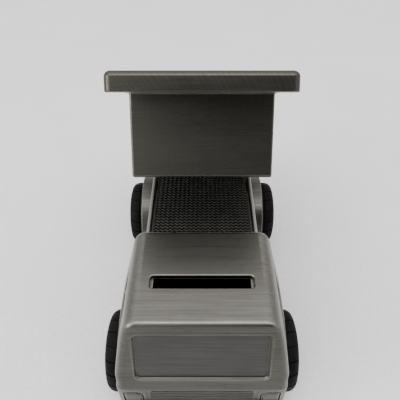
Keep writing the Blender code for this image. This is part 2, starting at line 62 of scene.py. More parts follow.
HINGE_S, HINGE_Z, TILT = 89.5, 31.6, 33.0
CAB_FRONT, CAB_REAR, CAB_BOTTOM, CAB_TOP = -20.5, 24.3, 9.6, 57.0
RIDGE_Z, BELT_Z = 27.0, 32.0
WALL = 2.2

TRUCK = Matrix.Scale(0.001, 4) @ Matrix.Translation(Vector((0, -S0, 0)))
BED = (Matrix.Scale(0.001, 4) @ Matrix.Translation(Vector((0, HINGE_S - S0, HINGE_Z)))
       @ Matrix.Rotation(math.radians(-TILT), 4, 'X'))

work = bpy.data.collections.new("truck_looks")
bpy.context.scene.collection.children.link(work)
tools = bpy.data.collections.new("truck_tools")
bpy.context.scene.collection.children.link(tools)

PLANES = {
    "side": Matrix(((0, 0, 1), (1, 0, 0), (0, 1, 0))).to_4x4(),    # (s, z), thickness along X
    "front": Matrix(((1, 0, 0), (0, 0, -1), (0, 1, 0))).to_4x4(),  # (x, z), thickness along Y
    "plan": Matrix.Identity(4),                                    # (x, s), thickness along Z
}


# ---------------------------------------------------------------- mesh helpers
def new_object(name, bm):
    bmesh.ops.recalc_face_normals(bm, faces=bm.faces)
    me = bpy.data.meshes.new(name)
    bm.to_mesh(me)
    bm.free()
    ob = bpy.data.objects.new(name, me)
    tools.objects.link(ob)
    return ob


def rounded(points, steps=4):
    """Outline from (u, v, radius) corners; each radius becomes an arc of the given steps."""
    out = []
    n = len(points)
    for i, (u, v, r) in enumerate(points):
        p = Vector((u, v))
        if r <= 0:
            out.append((u, v))
            continue
        a = (Vector(points[i - 1][:2]) - p).normalized()
        b = (Vector(points[(i + 1) % n][:2]) - p).normalized()
        half = a.angle(b) / 2
        cut_ = r / math.tan(half)
        centre = p + (a + b).normalized() * (r / math.sin(half))
        va, vb = p + a * cut_ - centre, p + b * cut_ - centre
        t0 = math.atan2(va.y, va.x)
        dt = math.atan2(vb.y, vb.x) - t0
        while dt > math.pi:
            dt -= 2 * math.pi
        while dt < -math.pi:
            dt += 2 * math.pi
        for k in range(steps + 1):
            t = t0 + dt * k / steps
            out.append((centre.x + r * math.cos(t), centre.y + r * math.sin(t)))
    return out


def grown(points, d):
    """The same convex, counter-clockwise corners with every side moved out by d and the radii grown to suit."""
    n = len(points)
    out = []
    for i in range(n):
        p0, p1, p2 = (Vector(points[j % n][:2]) for j in (i - 1, i, i + 1))
        e1, e2 = (p1 - p0).normalized(), (p2 - p1).normalized()
        n1, n2 = Vector((e1.y, -e1.x)), Vector((e2.y, -e2.x))
        bis = (n1 + n2).normalized()
        q = p1 + bis * (d / max(0.2, bis.dot(n1)))
        out.append((q.x, q.y, max(0.12, points[i][2] + d) if points[i][2] > 0 else 0))
    return out


def loft(name, rings):
    """Closed skin through rings of equal point counts, with flat ends."""
    bm = bmesh.new()
    rows = [[bm.verts.new(p) for p in ring] for ring in rings]
    n = len(rows[0])
    for a, b in zip(rows, rows[1:]):
        for i in range(n):
            j = (i + 1) % n
            bm.faces.new((a[i], a[j], b[j], b[i]))
    bm.faces.new(list(reversed(rows[0])))
    bm.faces.new(rows[-1])
    return new_object(name, bm)


def dish(name, corners, profile, plane, place=None, steps=4):
    """Skin whose outline grows by (depth, growth) steps, for recesses with rounded lips."""
    rings = []
    m = PLANES[plane]
    if place is not None:
        m = place @ m
    for depth, grow in profile:
        rings.append([m @ Vector((u, v, depth)) for u, v in rounded(grown(corners, grow), steps)])
    return loft(name, rings)


def prism(name, outline, plane, lo, hi, place=None):
    m = PLANES[plane]
    if place is not None:
        m = place @ m
    if plane == "front":
        lo, hi = -hi, -lo
    return loft(name, [[m @ Vector((u, v, d)) for u, v in outline] for d in (lo, hi)])


def hoop(name, corners, grow_out, grow_in, plane, lo, hi, place=None, steps=4):
    """Rectangular-section ring round an outline: cuts a groove, or stands as a frame."""
    m = PLANES[plane]
    if place is not None:
        m = place @ m
    if plane == "front":
        lo, hi = -hi, -lo
    outer, inner = rounded(grown(corners, grow_out), steps), rounded(grown(corners, grow_in), steps)
    bm = bmesh.new()
    loops = []
    for pts, d in ((outer, lo), (inner, lo), (inner, hi), (outer, hi)):
        loops.append([bm.verts.new(m @ Vector((u, v, d))) for u, v in pts])
    n = len(outer)
    for a in range(4):
        la, lb = loops[a], loops[(a + 1) % 4]
        for i in range(n):
            j = (i + 1) % n
            bm.faces.new((la[i], la[j], lb[j], lb[i]))
    return new_object(name, bm)


def block(name, x, s, z, place=None):
    return prism(name, [(x[0], s[0]), (x[1], s[0]), (x[1], s[1]), (x[0], s[1])], "plan", z[0], z[1], place)


def rod(name, profile, centre, axis, sides=64, place=None):
    """Turned skin: profile of (radius, along) pairs about an axis through centre."""
    bm = bmesh.new()
    rot = Matrix.Rotation(math.radians(90), 4, 'Y') if axis == "x" else Matrix.Identity(4)
    m = Matrix.Translation(Vector(centre)) @ rot
    if place is not None:
        m = place @ m
    rows = []
    for r, h in profile:
        if r <= 1e-6:
            rows.append([bm.verts.new(m @ Vector((0, 0, h)))])
        else:
            rows.append([bm.verts.new(m @ Vector((r * math.cos(2 * math.pi * k / sides),
                                                  r * math.sin(2 * math.pi * k / sides), h)))
                         for k in range(sides)])
    closed = profile[0] == profile[-1]
    if closed:
        for v in rows[-1]:
            bm.verts.remove(v)
        rows[-1] = rows[0]
    for a, b in zip(rows, rows[1:]):
        for k in range(sides):
            j = (k + 1) % sides
            if len(a) == 1:
                bm.faces.new((a[0], b[j], b[k]))
            elif len(b) == 1:
                bm.faces.new((a[k], a[j], b[0]))
            else:
                bm.faces.new((a[k], a[j], b[j], b[k]))
    if not closed:
        for row in (rows[0], rows[-1]):
            if len(row) > 1:
                bm.faces.new(row)
    return new_object(name, bm)


def boolean(ob, other, op='DIFFERENCE'):
    md = ob.modifiers.new(op.lower(), 'BOOLEAN')
    md.operation = op
    md.solver = 'EXACT'
    md.object = other
    return ob


def bevel(ob, width, segments=3, angle=30):
    md = ob.modifiers.new("round", 'BEVEL')
    md.width = width
    md.segments = segments
    md.limit_method = 'ANGLE'
    md.angle_limit = math.radians(angle)
    md.use_clamp_overlap = True
    md.miter_outer = 'MITER_ARC'
    return ob


def bake(ob):
    """Apply the modifiers and tidy the mesh."""
    bpy.context.view_layer.update()
    dg = bpy.context.evaluated_depsgraph_get()
    me = bpy.data.meshes.new_from_object(ob.evaluated_get(dg))
    ob.modifiers.clear()
    ob.data = me
    bm = bmesh.new()
    bm.from_mesh(me)
    bmesh.ops.remove_doubles(bm, verts=bm.verts, dist=2e-4)
    bmesh.ops.dissolve_degenerate(bm, edges=bm.edges, dist=2e-4)
    bm.to_mesh(me)
    bm.free()
    return ob


def merged(name, objects):
    """One object from several closed skins."""
    bm = bmesh.new()
    for o in objects:
        bm.from_mesh(o.data)
    me = bpy.data.meshes.new(name)
    bm.to_mesh(me)
    bm.free()
    for o in objects:
        bpy.data.objects.remove(o)
    ob = bpy.data.objects.new(name, me)
    tools.objects.link(ob)
    return ob


def piece(ob, name, mat, body, place=TRUCK, nodes=(), sharp=38, weighted=True):
    """Move a finished mesh to the row frame, shade it, and hang it on its body."""
    if ob.modifiers:
        bake(ob)
    ob.name = name
    ob.data.name = name
    ob.data.transform(place)
    ob.data.materials.clear()
    ob.data.materials.append(mat)
    ob.data.shade_smooth()
    ob.data.set_sharp_from_angle(angle=math.radians(sharp))
    if weighted:
        md = ob.modifiers.new("normals", 'WEIGHTED_NORMAL')
        md.keep_sharp = True
        md.weight = 80
    for c in list(ob.users_collection):
        c.objects.unlink(ob)
    work.objects.link(ob)
    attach(ob, body)
    if nodes:
        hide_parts(*nodes)
    return ob


# ---------------------------------------------------------------- materials
def mm_coords(nt, level=0.0):
    """Object coordinates in millimetres, turned about X by the given degrees so that a tipped piece reads level."""
    tc = nt.nodes.new("ShaderNodeTexCoord")
    mp = nt.nodes.new("ShaderNodeMapping")
    mp.inputs["Rotation"].default_value = (math.radians(level), 0, 0)
    mp.inputs["Scale"].default_value = (1000, 1000, 1000)
    nt.links.new(tc.outputs["Object"], mp.inputs["Vector"])
    return tc, mp.outputs["Vector"]


def math_node(nt, op, a, b=None, clamp=False):
    n = nt.nodes.new("ShaderNodeMath")
    n.operation = op
    n.use_clamp = clamp
    for i, v in enumerate((a, b)):
        if v is None:
            continue
        if isinstance(v, (int, float)):
            n.inputs[i].default_value = v
        else:
            nt.links.new(v, n.inputs[i])
    return n.outputs[0]


def streaks(nt, coords, scale, detail=3.0, rough=0.55):
    mp = nt.nodes.new("ShaderNodeMapping")
    mp.inputs["Scale"].default_value = scale
    nt.links.new(coords, mp.inputs["Vector"])
    nz = nt.nodes.new("ShaderNodeTexNoise")
    nz.inputs["Scale"].default_value = 1.0
    nz.inputs["Detail"].default_value = detail
    nz.inputs["Roughness"].default_value = rough
    nt.links.new(mp.outputs["Vector"], nz.inputs["Vector"])
    return nz.outputs["Fac"]


def remap(nt, value, a, b, c, d):
    n = nt.nodes.new("ShaderNodeMapRange")
    n.inputs["From Min"].default_value = a
    n.inputs["From Max"].default_value = b
    n.inputs["To Min"].default_value = c
    n.inputs["To Max"].default_value = d
    n.clamp = True
    nt.links.new(value, n.inputs["Value"])
    return n.outputs["Result"]


def mix_colour(nt, fac, a, b, mode='MIX'):
    n = nt.nodes.new("ShaderNodeMix")
    n.data_type = 'RGBA'
    n.blend_type = mode
    if isinstance(fac, (int, float)):
        n.inputs[0].default_value = fac
    else:
        nt.links.new(fac, n.inputs[0])
    for idx, v in ((6, a), (7, b)):
        if isinstance(v, tuple):
            n.inputs[idx].default_value = (*v, 1.0)
        else:
            nt.links.new(v, n.inputs[idx])
    return n.outputs[2]


def pewter(name, light, dark, patina, rough=(0.27, 0.42), brush='x', scratch=1.0, edge=0.5, front_shade=None, arcs=None,
           level=0.0, own=True):
    """Brushed pewter: long streaks, fine cross scratches, dark patina in the corners (with painted shade where the
    darkening takes in neighbouring pieces), bright worn edges, and optional painted shade on the faces that look
    forward.
    """
    m = bpy.data.materials.new(name)
    m.use_nodes = True
    nt = m.node_tree
    b = nt.nodes["Principled BSDF"]
    tc, mm = mm_coords(nt, level)
    sep = nt.nodes.new("ShaderNodeSeparateXYZ")
    nt.links.new(tc.outputs["Normal"], sep.inputs[0])
    # how far the face looks sideways: there the brushing runs fore and aft
    side = remap(nt, math_node(nt, 'ABSOLUTE', sep.outputs["X"]), 0.6, 0.8, 0.0, 1.0)
    if brush == 'x':
        wide_a = streaks(nt, mm, (0.026, 0.9, 0.9), 4.0)
        fine_a = streaks(nt, mm, (0.06, 2.8, 2.8), 3.0)
    else:
        wide_a = streaks(nt, mm, (0.5, 0.05, 0.05), 4.0)
        fine_a = streaks(nt, mm, (2.2, 0.09, 0.09), 3.0)
    wide_b = streaks(nt, mm, (1.1, 0.022, 1.1), 3.0)
    fine_b = streaks(nt, mm, (2.8, 0.05, 2.8), 3.0)
    mixf = nt.nodes.new("ShaderNodeMix")
    mixf.data_type = 'FLOAT'
    nt.links.new(side, mixf.inputs[0])
    nt.links.new(wide_a, mixf.inputs[2])
    nt.links.new(wide_b, mixf.inputs[3])
    wide = mixf.outputs[0]
    mixg = nt.nodes.new("ShaderNodeMix")
    mixg.data_type = 'FLOAT'
    nt.links.new(side, mixg.inputs[0])
    nt.links.new(fine_a, mixg.inputs[2])
    nt.links.new(fine_b, mixg.inputs[3])
    fine = mixg.outputs[0]
    cross = streaks(nt, mm, (1.6, 1.6, 0.06) if brush == 'x' else (0.06, 1.6, 1.6), 3.0)
    cloud = streaks(nt, mm, (0.09, 0.09, 0.09), 3.0)
    line = math_node(nt, 'ADD', math_node(nt, 'MULTIPLY', wide, 0.36), math_node(nt, 'MULTIPLY', fine, 0.40))
    line = math_node(nt, 'ADD', line, math_node(nt, 'MULTIPLY', cross, 0.08 * scratch))
    line = math_node(nt, 'ADD', line, math_node(nt, 'MULTIPLY', cloud, 0.20))
    tone = remap(nt, line, 0.34, 0.74, 0.0, 1.0)
    colour = mix_colour(nt, tone, dark, light)
    if front_shade is not None:
        # painted shade: the faces that look forward are darkened
        front_shade_mask = math_node(nt, 'MULTIPLY', remap(nt, math_node(nt, 'MULTIPLY', sep.outputs["Y"], -1.0), 0.25, 0.80, 0.0, 1.0),
                          remap(nt, sep.outputs["Z"], 0.40, 0.62, 1.0, 0.0))
        colour = mix_colour(nt, front_shade_mask, colour, mix_colour(nt, 1.0, colour, (front_shade, front_shade, front_shade), 'MULTIPLY'))
    if arcs is not None:
        # curved strokes of the brush across the canopy's front
        centre, reach = arcs
        far = nt.nodes.new("ShaderNodeVectorMath")
        far.operation = 'DISTANCE'
        nt.links.new(mm, far.inputs[0])
        far.inputs[1].default_value = centre
        ring = nt.nodes.new("ShaderNodeTexNoise")
        ring.noise_dimensions = '1D'
        ring.inputs["Scale"].default_value = 2.4
        ring.inputs["Detail"].default_value = 3.0
        nt.links.new(far.outputs["Value"], ring.inputs["W"])
        sep2 = nt.nodes.new("ShaderNodeSeparateXYZ")
        nt.links.new(mm, sep2.inputs[0])
        here = math_node(nt, 'MULTIPLY', remap(nt, sep2.outputs["Y"], reach, reach + 1.0, 0.8, 0.0),
                         remap(nt, math_node(nt, 'MULTIPLY', sep.outputs["Y"], -1.0), -0.5, 0.2, 0.0, 1.0))
        stroke = mix_colour(nt, remap(nt, ring.outputs["Fac"], 0.30, 0.80, 0.0, 1.0), tuple(c * 0.85 for c in dark),
                            tuple(c * 0.62 for c in light))
        colour = mix_colour(nt, here, colour, stroke)
    # patina gathers in the corners and is rubbed off the edges; where own is False the darkening also takes in
    # neighbouring pieces, which paints the shade they cast
    ao = nt.nodes.new("ShaderNodeAmbientOcclusion")
    ao.samples = 6
    ao.only_local = own
    ao.inputs["Distance"].default_value = 0.0022
    crease = math_node(nt, 'ADD', ao.outputs["AO"], math_node(nt, 'MULTIPLY', math_node(nt, 'SUBTRACT', cloud, 0.5), 0.25))
    patina_and_shade = remap(nt, crease, 0.35, 0.86, 1.0, 0.0)
    colour = mix_colour(nt, math_node(nt, 'MULTIPLY', patina_and_shade, 0.75), colour, patina)
    inn = nt.nodes.new("ShaderNodeAmbientOcclusion")
    inn.samples = 6
    inn.inside = True
    inn.only_local = True
    inn.inputs["Distance"].default_value = 0.0009
    worn = remap(nt, inn.outputs["AO"], 0.52, 0.95, 1.0, 0.0)
    worn = math_node(nt, 'MULTIPLY', worn, remap(nt, fine, 0.3, 0.7, 0.35 * edge, edge))
    colour = mix_colour(nt, worn, colour, tuple(min(1.0, c * 1.45) for c in light))
    nt.links.new(colour, b.inputs["Base Color"])
    b.inputs["Metallic"].default_value = 1.0
    r = remap(nt, line, 0.38, 0.70, rough[1], rough[0])
    r = math_node(nt, 'ADD', r, math_node(nt, 'MULTIPLY', patina_and_shade, 0.16))
    nt.links.new(r, b.inputs["Roughness"])
    bump = nt.nodes.new("ShaderNodeBump")
    bump.inputs["Strength"].default_value = 0.30
    bump.inputs["Distance"].default_value = 0.00005
    nt.links.new(math_node(nt, 'ADD', math_node(nt, 'MULTIPLY', fine, 0.7), math_node(nt, 'MULTIPLY', wide, 0.6)),
                 bump.inputs["Height"])
    nt.links.new(bump.outputs["Normal"], b.inputs["Normal"])
    return m


def rubber(name, dark, light, rough=(0.55, 0.75), grain=3.0, bump_mm=0.02, gloss=0.25, rib_highlight=None):
    m = bpy.data.materials.new(name)
    m.use_nodes = True
    nt = m.node_tree
    b = nt.nodes["Principled BSDF"]
    tc, mm = mm_coords(nt)
    cloud = streaks(nt, mm, (0.25, 0.25, 0.25), 4.0)
    grit = streaks(nt, mm, (grain, grain, grain), 2.0)
    inn = nt.nodes.new("ShaderNodeAmbientOcclusion")
    inn.samples = 6
    inn.inside = True
    inn.only_local = True
    inn.inputs["Distance"].default_value = 0.0007
    worn = remap(nt, inn.outputs["AO"], 0.55, 0.92, 0.5, 0.0)
    colour = mix_colour(nt, remap(nt, cloud, 0.35, 0.7, 0.0, 1.0), dark, light)
    colour = mix_colour(nt, worn, colour, tuple(min(1.0, c * 2.0) for c in light))
    if rib_highlight is not None:
        # painted highlight: the tops of the ribs are lighter, for the light lines along each rib
        low_z, high_z, top = rib_highlight
        sep = nt.nodes.new("ShaderNodeSeparateXYZ")
        nt.links.new(mm, sep.inputs[0])
        rub = math_node(nt, 'MULTIPLY', remap(nt, sep.outputs["Z"], low_z, high_z, 0.0, 1.0),
                        remap(nt, cloud, 0.3, 0.7, 0.65, 1.0))
        colour = mix_colour(nt, rub, colour, top)
    nt.links.new(colour, b.inputs["Base Color"])
    nt.links.new(remap(nt, grit, 0.3, 0.7, rough[0], rough[1]), b.inputs["Roughness"])
    b.inputs["Specular IOR Level"].default_value = gloss
    bump = nt.nodes.new("ShaderNodeBump")
    bump.inputs["Strength"].default_value = 0.5
    bump.inputs["Distance"].default_value = bump_mm * 0.001
    nt.links.new(grit, bump.inputs["Height"])
    nt.links.new(bump.outputs["Normal"], b.inputs["Normal"])
    return m


def plated(name, light, dark, rough=(0.2, 0.36), grain=1.2):
    """Plated or bright steel with fine spots and rubbed marks."""
    m = bpy.data.materials.new(name)
    m.use_nodes = True
    nt = m.node_tree
    b = nt.nodes["Principled BSDF"]
    tc, mm = mm_coords(nt)
    cloud = streaks(nt, mm, (0.18, 0.18, 0.18), 4.0)
    spots = streaks(nt, mm, (grain, grain, grain), 4.0, 0.65)
    rub = streaks(nt, mm, (0.12, 2.2, 1.2), 3.0)
    v = math_node(nt, 'ADD', math_node(nt, 'MULTIPLY', cloud, 0.4), math_node(nt, 'MULTIPLY', spots, 0.3))
    v = math_node(nt, 'ADD', v, math_node(nt, 'MULTIPLY', rub, 0.3))
    colour = mix_colour(nt, remap(nt, v, 0.38, 0.64, 0.0, 1.0), dark, light)
    nt.links.new(colour, b.inputs["Base Color"])
    b.inputs["Metallic"].default_value = 1.0
    nt.links.new(remap(nt, v, 0.38, 0.64, rough[1], rough[0]), b.inputs["Roughness"])
    bump = nt.nodes.new("ShaderNodeBump")
    bump.inputs["Strength"].default_value = 0.3
    bump.inputs["Distance"].default_value = 0.00002
    nt.links.new(spots, bump.inputs["Height"])
    nt.links.new(bump.outputs["Normal"], b.inputs["Normal"])
    return m


# the cab's faces that look forward are darkened to 0.44: painted shade
M_CAB = pewter("cab_pewter_look", (0.226, 0.219, 0.195), (0.118, 0.114, 0.100), (0.045, 0.043, 0.038), edge=0.75,
               front_shade=0.44)
# the pane material's edges darken against the recess walls around them: painted shade, besides patina
M_PANE = pewter("pane_pewter_look", (0.070, 0.068, 0.065), (0.036, 0.035, 0.033), (0.016, 0.0155, 0.0145), edge=0.2, own=False)
M_GRILLE = pewter("grille_pewter_look", (0.115, 0.112, 0.104), (0.055, 0.053, 0.049), (0.03, 0.029, 0.027), edge=0.35)
M_LAMP = pewter("lamp_pewter_look", (0.105, 0.102, 0.094), (0.066, 0.064, 0.059), (0.03, 0.029, 0.027), edge=0.5)
M_RAIL = pewter("rail_pewter_look", (0.46, 0.45, 0.415), (0.31, 0.303, 0.278), (0.10, 0.095, 0.085), brush='y', edge=0.3)
M_BED = pewter("bed_pewter_look", (0.146, 0.140, 0.121), (0.060, 0.057, 0.048), (0.040, 0.038, 0.032), scratch=2.0,
               edge=0.12, arcs=((-78.0, -66.0, 40.0), -64.5), level=TILT,
              rough=(0.29, 0.42))
M_CHASSIS = pewter("chassis_pewter_look", (0.150, 0.146, 0.134), (0.066, 0.064, 0.059), (0.045, 0.043, 0.040),
                   rough=(0.30, 0.44), edge=0.8)
M_HUB = pewter("hub_pewter_look", (0.36, 0.35, 0.32), (0.20, 0.195, 0.178), (0.045, 0.043, 0.040), rough=(0.28, 0.42))
M_TYRE = rubber("tyre_rubber_look", (0.0035, 0.0035, 0.0037), (0.0075, 0.0075, 0.0078), gloss=0.09)
# the pad's rib tops take a lighter colour: a painted highlight
M_PAD = rubber("pad_rubber_look", (0.006, 0.006, 0.006), (0.010, 0.010, 0.010), rough=(0.55, 0.70), grain=2.2, gloss=0.10,
               rib_highlight=(34.84, 35.02, (0.115, 0.115, 0.108)))
M_STOP = rubber("stopper_rubber_look", (0.018, 0.018, 0.018), (0.033, 0.033, 0.033), rough=(0.45, 0.62))
M_COVER = plated("cover_steel_look", (0.30, 0.30, 0.285), (0.16, 0.16, 0.15), rough=(0.36, 0.55))
M_STEEL = plated("steel_look", (0.58, 0.58, 0.57), (0.38, 0.38, 0.38))
M_SCREW = plated("screw_look", (0.50, 0.50, 0.50), (0.26, 0.26, 0.27), rough=(0.25, 0.42))
M_WASHER = rubber("washer_look", (0.03, 0.03, 0.03), (0.055, 0.055, 0.055), rough=(0.4, 0.55))


# ---------------------------------------------------------------- cab
def half_width(z):
    """Half the cab's width at height z: upright to the belt, leaning in above it, rounded into the roof."""
    if z <= BELT_Z:
        return 29.6 + 0.6 * (z - CAB_BOTTOM) / (BELT_Z - CAB_BOTTOM)
    if z <= 53.26:
        return (37.2917 - 0.2521 * z) / 0.9677
    return 19.823 + math.sqrt(max(0.0, 25.0 - (z - 52.0) ** 2))


def front_s(z):
    if z <= RIDGE_Z:
        return CAB_FRONT
    if z <= 55.25:
        return (0.20552 * z - 25.6116) / 0.97866
    return -12.414 - math.sqrt(max(0.0, 4.84 - (z - 54.8) ** 2))


def rear_s(z):
    return CAB_REAR if z <= 54.5 else 21.8 + math.sqrt(max(0.0, 6.25 - (z - 54.5) ** 2))


def cab_ring(z, inset=0.0, step=0.0, steps=6, at=None):
    w = half_width(z) - inset
    f, r = front_s(z) + inset + step, rear_s(z) - inset
    taper = 1.45 * min(1.0, max(0.0, (46.0 - z) / 14.0))
    if z < 28.0:
        taper = 0.55 + 0.90 * max(0.0, (z - 24.0) / 4.0)
    top = min(1.0, max(0.0, (z - 52.0) / 5.0))
    k = 1.0 - 0.62 * top * top
    zz = z if at is None else at
    out = rounded([(-w + taper, f, max(0.3, (2.8 - inset) * k)), (w - taper, f, max(0.3, (2.8 - inset) * k)), (w, 2.0, 0),
                   (w, r, max(0.3, (3.5 - inset) * k)), (-w, r, max(0.3, (3.5 - inset) * k)), (-w, 2.0, 0)], steps)
    return [Vector((u, v, zz)) for u, v in out]


rings = [cab_ring(9.6, 0.45), cab_ring(9.75, 0.15), cab_ring(10.1)]
rings += [cab_ring(z, 0, st) for z, st in ((14.0, 0.30), (24.6, 0.30), (25.2, 0.28), (25.6, 0.16), (25.95, 0.03), (26.3, 0.0),
                                           (26.9, 0.02), (27.5, 0.05), (28.3, 0.02), (29.2, 0.0))]
rings += [cab_ring(z) for z in (31.2, 31.7, 32.2, 33.0, 40.0, 48.0, 51.5)]
# a fine crease under the roof's front edge
rings += [cab_ring(z, 0, st) for z, st in ((53.30, 0.0), (53.42, 0.10), (53.62, 0.13), (53.80, 0.04), (53.95, 0.0))]
for i in range(17):
    a = math.radians(90.0 * i / 16)
    rings.append(cab_ring(54.1 + 2.9 * math.sin(a)))
cab = loft("cab_form", rings)
inner = [cab_ring(z, WALL, 0, 2, at) for z, at in ((10.0, 3.0), (27.0, 27.0), (32.0, 32.0), (50.0, 49.0), (55.4, 53.6), (56.4, 54.8))]
boolean(cab, loft("cab_inside", inner))

# coin slot: rounded lips on the roof, sharp walls through it
slot_c = [(-16.9, -0.95, 1.0), (16.9, -0.95, 1.0), (16.9, 3.83, 1.0), (-16.9, 3.83, 1.0)]
boolean(cab, block("slot_through", (-16.0, 16.0), (-0.91, 3.79), (48.0, 55.9)))
boolean(cab, dish("slot", slot_c, [(55.4, 0.0), (56.55, 0.0), (56.76, 0.05), (56.91, 0.16), (56.985, 0.32), (57.0, 0.5), (57.6, 1.2)],
                  "plan", steps=5))
# windshield: a wide soft bevel down to a brushed panel
lean = math.degrees(math.atan2(6.3, 30.0))
face = Matrix.Translation(Vector((0, CAB_FRONT, RIDGE_Z))) @ Matrix.Rotation(math.radians(-lean), 4, 'X')
wind_c = [(-21.7, 5.0, 1.6), (21.7, 5.0, 1.6), (21.2, 25.15, 1.6), (-21.2, 25.15, 1.6)]
DISH = [(-1.25, -0.25), (-1.2, -0.12), (-1.06, 0.0), (-0.72, 0.18), (-0.45, 0.36), (-0.22, 0.58), (-0.08, 0.82), (-0.01, 1.10), (0.12, 1.6), (0.8, 3.0)]
panel = face @ Matrix.Translation(Vector((0, 0, 25.0))) @ Matrix.Rotation(math.radians(-1.1), 4, 'X') @ Matrix.Translation(Vector((0, 0, -25.0)))
recess = []
for depth, grow in DISH:
    # the foot grows less than the sides, so its lip is a thin line
    pts = [(u, v + 0.62 * max(0.0, grow) if v < 15 else v, r) for u, v, r in grown(wind_c, grow)]
    recess.append([panel @ PLANES["front"] @ Vector((u, v, depth)) for u, v in rounded(pts, 6)])
boolean(cab, loft("windshield", recess))
bake(cab)
# side windows and door lines
side_deg = math.degrees(math.atan2(5.6, 21.5))
details = []
for sgn, tag in ((-1, "left"), (1, "right")):
    fr = (Matrix.Translation(Vector((sgn * 30.2, 0, BELT_Z))) @ Matrix.Rotation(math.radians(-sgn * side_deg), 4, 'Y'))
    win = [(-9.5, 2.5, 1.5), (13.5, 2.5, 1.5), (13.5, 18.0, 1.5), (-5.5, 18.0, 1.5)]
    prof = [(-0.8, -0.1), (-0.76, -0.02), (-0.66, 0.03), (-0.3, 0.2), (-0.12, 0.36), (-0.02, 0.62), (0.0, 0.8), (0.5, 1.8)]
    if sgn < 0:
        prof = [(-d, g) for d, g in prof]
    boolean(cab, dish("window_" + tag, win, prof, "side", fr, 6))
    arch = []
    for x, r in ((20.0, 17.3), (29.0, 17.3), (29.35, 17.45), (29.7, 17.8), (30.1, 18.4), (31.5, 19.6)):
        arch.append((r, sgn * x))
    boolean(cab, rod("arch_" + tag, arch, (0, 0, AXLE_Z), "x", 96))
    drop = []
    for x, g in ((20.0, 0.0), (29.0, 0.0), (29.35, 0.15), (29.7, 0.5), (30.1, 1.1), (31.5, 2.3)):
        drop.append([Vector((sgn * x, u, v)) for u, v in ((-17.3 - g, 0), (17.3 + g, 0), (17.3 + g, AXLE_Z), (-17.3 - g, AXLE_Z))])
    boolean(cab, loft("drop_" + tag, drop))
boolean(cab, rod("arch_mid", [(17.3, -21.0), (17.3, 21.0)], (0, 0, AXLE_Z), "x", 96))
boolean(cab, block("drop_mid", (-21, 21), (-17.3, 17.3), (0, AXLE_Z)))
bake(cab)
for sgn, tag in ((-1, "left"), (1, "right")):
    # the door's outline below the belt, ending at the wheel arch, and its rear edge
    path = prism("door_rear_" + tag, [(14.6, 18.5), (15.0, 18.5), (15.0, 31.2), (14.6, 31.2)], "side", *sorted((sgn * 29.6, sgn * 33)))
    boolean(cab, path)
    boolean(cab, prism("belt_" + tag, [(-16.5, 30.95), (20.2, 30.95), (20.2, 31.3), (-16.5, 31.3)], "side", *sorted((sgn * 29.75, sgn * 33))))
boolean(cab, block("rear_notch", (-22.9, 22.9), (18.3, 30.0), (0, 33.3)))
# lower front: headlight surrounds and the grille's recess
lamp = {}
for sgn, tag in ((-1, "left"), (1, "right")):
    xs = (19.6, 27.0)
    if sgn > 0:
        c = [(20.3, 16.4, 0.8), (26.7, 16.4, 0.8), (26.7, 23.7, 0.9), (20.3, 23.7, 2.6)]
    else:
        c = [(-26.7, 16.4, 0.8), (-20.3, 16.4, 0.8), (-20.3, 23.7, 2.6), (-26.7, 23.7, 0.9)]
    lamp[tag] = c
    boolean(cab, hoop("lamp_groove_" + tag, c, 0.30, -0.22, "front", -24.0, -19.55, None, 6))
grille_c = [(-17.3, 16.4, 0.7), (17.3, 16.4, 0.7), (17.3, 24.55, 0.7), (-17.3, 24.55, 0.7)]
boolean(cab, dish("grille_recess", grille_c, [(18.8, 0.0), (19.75, 0.0), (20.0, 0.10), (20.18, 0.34), (20.9, 1.4)], "front", None, 4))
bake(cab)
lenses = []
for sgn, tag in ((-1, "left"), (1, "right")):
    lens = dish("lens_" + tag, lamp[tag], [(18.9, -0.5), (20.2, -0.5), (20.38, -0.62), (20.48, -0.9), (20.53, -1.4), (20.55, -2.2)],
                "front", None, 6)
    lenses.append(lens)
    boss = rod("boss_" + tag, [(2.3, 10.0), (2.3, 31.5), (1.0, 31.5), (1.0, 10.0), (2.3, 10.0)], (sgn * 26.2, 20.2, 0), "z", 32)
    details.append(boss)
bars = []
for i in range(6):
    z = 17.2 + i * 1.34
    b = prism("bar_%d" % i, rounded([(-20.3, z - 0.34, 0.22), (-18.6, z - 0.34, 0), (-18.6, z + 0.34, 0), (-20.3, z + 0.34, 0.22)], 3),
              "side", -17.5, 17.5)
    bars.append(b)
bumper = prism("bumper", rounded([(-27.5, -22.0, 1.2), (27.5, -22.0, 1.2), (27.5, -19.3, 0.3), (-27.5, -19.3, 0.3)], 5), "plan", 9.6, 15.6)
bevel(bumper, 0.7, 4)
bake(bumper)
boolean(bumper, hoop("bumper_line", [(-25.4, 11.3, 0.8), (25.4, 11.3, 0.8), (25.4, 13.9, 0.8), (-25.4, 13.9, 0.8)], 0.15, -0.15,
                     "front", -24, -21.8, None, 4))
bake(bumper)
cab = merged("cab", [cab, bumper] + details)
piece(cab, "cab_body", M_CAB, "chassis", nodes=["cab_shell"])
piece(merged("grille", bars), "cab_grille_bars", M_GRILLE, "chassis")
piece(merged("lenses", lenses), "headlamp_lenses", M_LAMP, "chassis")
grille_back = dish("grille_back", grille_c, [(18.4, -0.3), (18.95, -0.3), (19.0, -0.4)], "front", None, 4)
piece(grille_back, "grille_back_panel", M_PANE, "chassis")
pane = dish("pane", wind_c, [(-1.45, -0.42), (-1.20, -0.42), (-1.16, -0.47), (-1.14, -0.6)], "front", panel, steps=6)
piece(pane, "windshield_pane", M_PANE, "chassis")
for sgn, tag in ((-1, "left"), (1, "right")):
    fr = (Matrix.Translation(Vector((sgn * 30.2, 0, BELT_Z))) @ Matrix.Rotation(math.radians(-sgn * side_deg), 4, 'Y'))
    prof = [(sgn * d, g) for d, g in ((-1.0, -0.4), (-0.78, -0.4), (-0.73, -0.46), (-0.71, -0.6))]
    piece(dish("pane", win, prof, "side", fr, 6), "side_window_pane_" + tag, M_PANE, "chassis")

